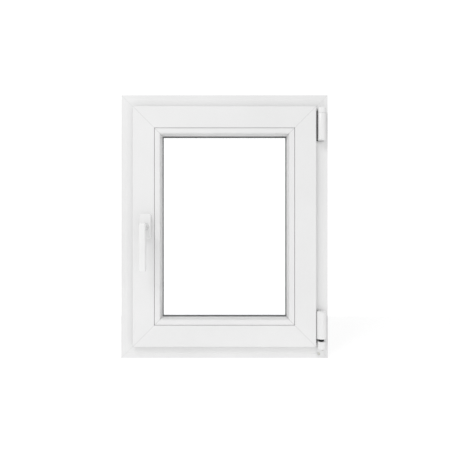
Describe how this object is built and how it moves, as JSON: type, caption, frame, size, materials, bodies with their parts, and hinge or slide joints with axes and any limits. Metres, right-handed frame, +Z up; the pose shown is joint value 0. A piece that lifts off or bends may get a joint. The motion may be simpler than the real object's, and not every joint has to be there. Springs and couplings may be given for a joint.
{
  "type": "casement window",
  "caption": "Inward opening tilt-and-turn casement window: mitred hollow profiles, double glazing, lever handle, espagnolette gear, corner pivot and stay arm.",
  "frame": {"origin": "centre of the outer frame's underside, at the middle of the frame's depth", "axes": "+X to the right seen from the room, +Y outdoors, +Z up"},
  "size_m": [0.55, 0.144, 0.7],
  "materials": {
    "white_profile": "smooth extruded white uPVC, satin gloss",
    "white_bead": "smooth extruded white uPVC, satin gloss",
    "clear_glass": "clear float glass",
    "grey_gasket": "matt grey elastomer",
    "spacer_aluminium": "mill finish, perforated",
    "black_sealant": "matt black polysulphide",
    "handle_white": "white powder coat, satin",
    "cover_white": "moulded white plastic",
    "block_plastic": "moulded polypropylene",
    "cast_zinc": "zinc die casting",
    "zinc_steel": "bright zinc plated steel",
    "black_steel": "black passivated steel"
  },
  "bodies": {
    "frame": {"frame_jamb_left": "white_profile", "frame_jamb_right": "white_profile", "frame_sill": "white_profile", "frame_head": "white_profile", "frame_reinforcements": "zinc_steel", "frame_gasket": "grey_gasket", "strikers": "zinc_steel", "striker_screws": "zinc_steel", "bottom_hinge_base": "zinc_steel", "bottom_hinge_cap": "cover_white", "top_hinge_bracket": "black_steel", "top_hinge_pin": "zinc_steel", "top_hinge_cover": "cover_white", "hinge_screws_frame": "zinc_steel", "drain_caps": "cover_white"},
    "pivot": {"pivot_cup": "black_steel", "pivot_cross_pin": "zinc_steel"},
    "stay": {"stay_arm": "black_steel", "stay_slider_pin": "zinc_steel", "stay_arm_cap": "cover_white"},
    "sash": {"sash_stile_left": "white_profile", "sash_stile_right": "white_profile", "sash_rail_bottom": "white_profile", "sash_rail_top": "white_profile", "sash_reinforcements": "zinc_steel", "glass_inner": "clear_glass", "glass_outer": "clear_glass", "spacer_bar": "spacer_aluminium", "edge_sealant": "black_sealant", "glazing_gasket_inner": "grey_gasket", "glazing_gasket_outer": "grey_gasket", "glazing_bead_left": "white_bead", "glazing_bead_right": "white_bead", "glazing_bead_bottom": "white_bead", "glazing_bead_top": "white_bead", "glazing_blocks": "block_plastic", "gear_case": "cast_zinc", "faceplate_left": "zinc_steel", "faceplate_top": "zinc_steel", "faceplate_bottom": "zinc_steel", "corner_drive_bottom": "zinc_steel", "corner_drive_top": "zinc_steel", "bottom_hinge_pin": "black_steel", "bottom_hinge_leaf": "black_steel", "bottom_hinge_cover": "cover_white", "hinge_screws_sash": "zinc_steel", "sash_gasket": "grey_gasket", "rosette_cover": "handle_white", "rosette_base": "cast_zinc", "rosette_screws": "zinc_steel"},
    "handle": {"handle_lever": "handle_white", "handle_spindle": "zinc_steel", "drive_pinion": "zinc_steel"},
    "rod_left": {"drive_rod_left": "zinc_steel", "locking_cams_left": "zinc_steel"},
    "rod_top": {"drive_rod_top": "zinc_steel", "locking_cam_top": "zinc_steel"},
    "rod_bottom": {"drive_rod_bottom": "zinc_steel", "locking_cams_bottom": "zinc_steel"}
  },
  "joints": [
    {"name": "sash_turn", "type": "hinge", "parent": "frame", "child": "pivot", "pos_m": [0.255, -0.0475, 0.038], "axis": [0, 0, 1], "range_deg": [0, 90]},
    {"name": "sash_tilt", "type": "hinge", "parent": "pivot", "child": "sash", "pos_m": [0.255, -0.0475, 0.038], "axis": [1, 0, 0], "range_deg": [0, 10.5]},
    {"name": "stay_arm_turn", "type": "hinge", "parent": "pivot", "child": "stay", "pos_m": [0.255, -0.0475, 0.653], "axis": [0, 0, 1], "range_deg": [0, 24.5]},
    {"name": "handle_turn", "type": "hinge", "parent": "sash", "child": "handle", "pos_m": [-0.207, -0.05, 0.35], "axis": [0, -1, 0], "range_deg": [0, 180]},
    {"name": "rod_left_slide", "type": "slide", "parent": "sash", "child": "rod_left", "axis": [0, 0, -1], "range_m": [0, 0.0283]},
    {"name": "rod_top_slide", "type": "slide", "parent": "sash", "child": "rod_top", "axis": [-1, 0, 0], "range_m": [0, 0.0283]},
    {"name": "rod_bottom_slide", "type": "slide", "parent": "sash", "child": "rod_bottom", "axis": [1, 0, 0], "range_m": [0, 0.0283]}
  ],
  "couplings": [
    {"joint": "stay_arm_turn", "follows": "sash_tilt", "ratio": 2.31},
    {"joint": "rod_left_slide", "follows": "handle_turn", "m_per_rad": 0.009},
    {"joint": "rod_top_slide", "follows": "handle_turn", "m_per_rad": 0.009},
    {"joint": "rod_bottom_slide", "follows": "handle_turn", "m_per_rad": 0.009}
  ]
}
